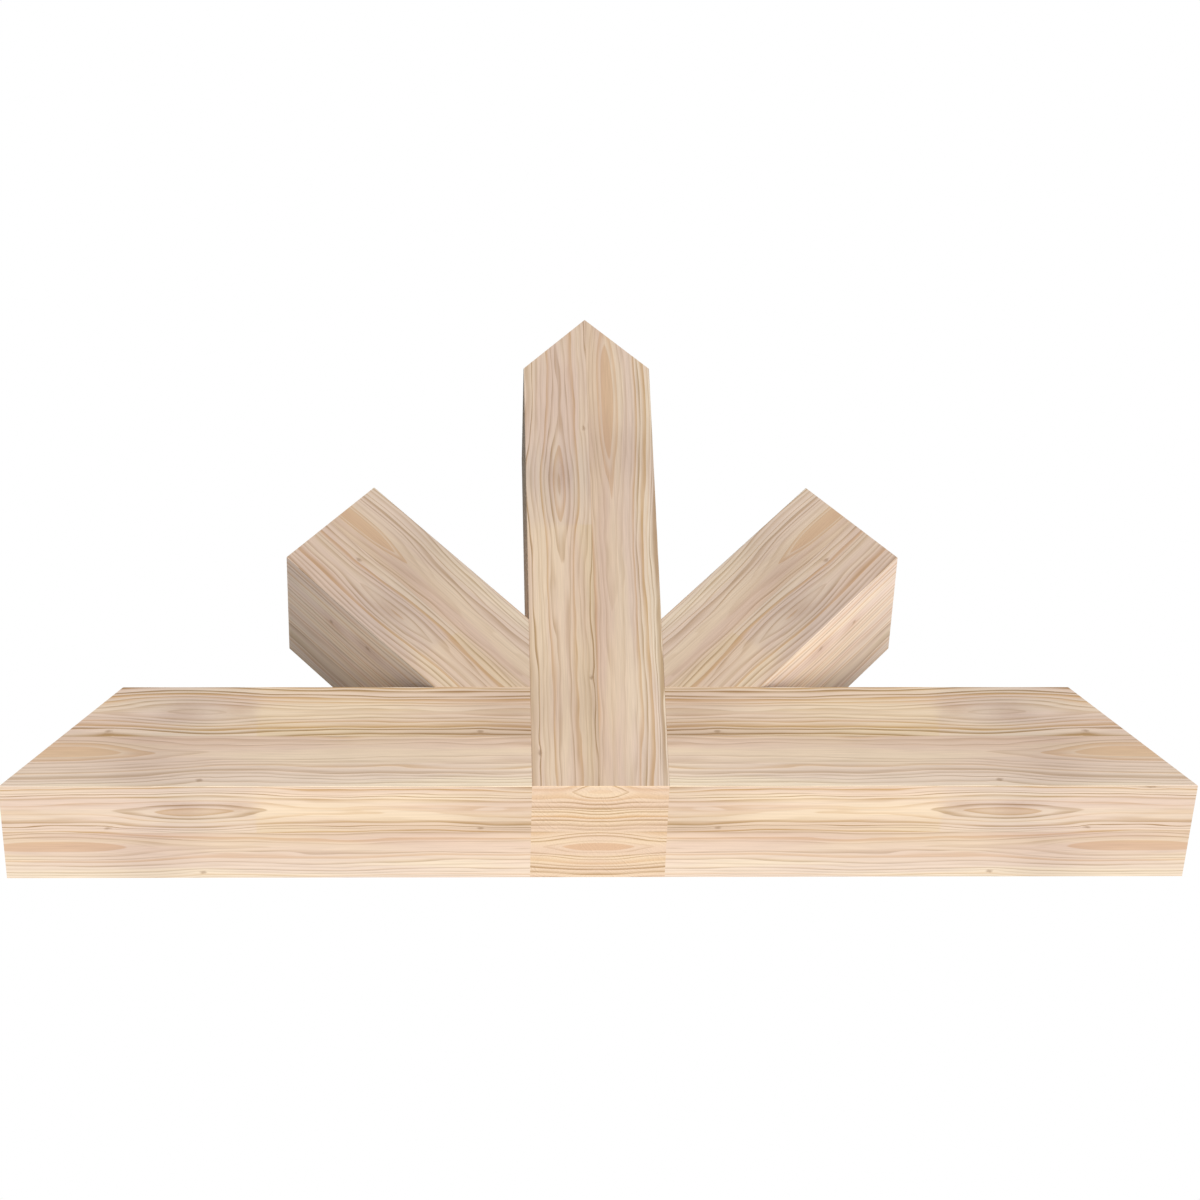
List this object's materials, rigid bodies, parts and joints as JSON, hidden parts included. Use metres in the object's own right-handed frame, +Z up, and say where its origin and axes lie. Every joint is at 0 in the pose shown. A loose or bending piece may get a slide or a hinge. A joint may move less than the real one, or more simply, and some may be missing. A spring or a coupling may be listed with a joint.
{
  "type": "decorative gable truss",
  "caption": "Flat timber truss for the peak of a gable: a king post, a bottom chord and raking braces of one square section, with every outer end cut to the roof slope.",
  "frame": {"origin": "middle of the underside, halfway along the chord and halfway through the depth", "axes": "+X along the bottom chord to the viewer's right, +Y from the front towards the wall, +Z up to the peak"},
  "size_m": [1.2192, 0.1396, 0.7112],
  "materials": {
    "stave_wood": "planed and sanded softwood, no coating",
    "dowel_wood": "turned hardwood, no coating"
  },
  "bodies": {
    "root": {"king_post_front_left_stave": "stave_wood", "king_post_front_right_stave": "stave_wood", "king_post_rear_left_stave": "stave_wood", "king_post_rear_right_stave": "stave_wood", "left_chord_front_upper_stave": "stave_wood", "left_chord_front_lower_stave": "stave_wood", "left_chord_rear_upper_stave": "stave_wood", "left_chord_rear_lower_stave": "stave_wood", "right_chord_front_upper_stave": "stave_wood", "right_chord_front_lower_stave": "stave_wood", "right_chord_rear_upper_stave": "stave_wood", "right_chord_rear_lower_stave": "stave_wood", "left_brace_front_upper_stave": "stave_wood", "left_brace_front_lower_stave": "stave_wood", "left_brace_rear_upper_stave": "stave_wood", "left_brace_rear_lower_stave": "stave_wood", "right_brace_front_upper_stave": "stave_wood", "right_brace_front_lower_stave": "stave_wood", "right_brace_rear_upper_stave": "stave_wood", "right_brace_rear_lower_stave": "stave_wood", "chord_tie_dowels": "dowel_wood", "brace_post_dowels": "dowel_wood", "brace_seat_dowels": "dowel_wood"}
  },
  "joints": []
}
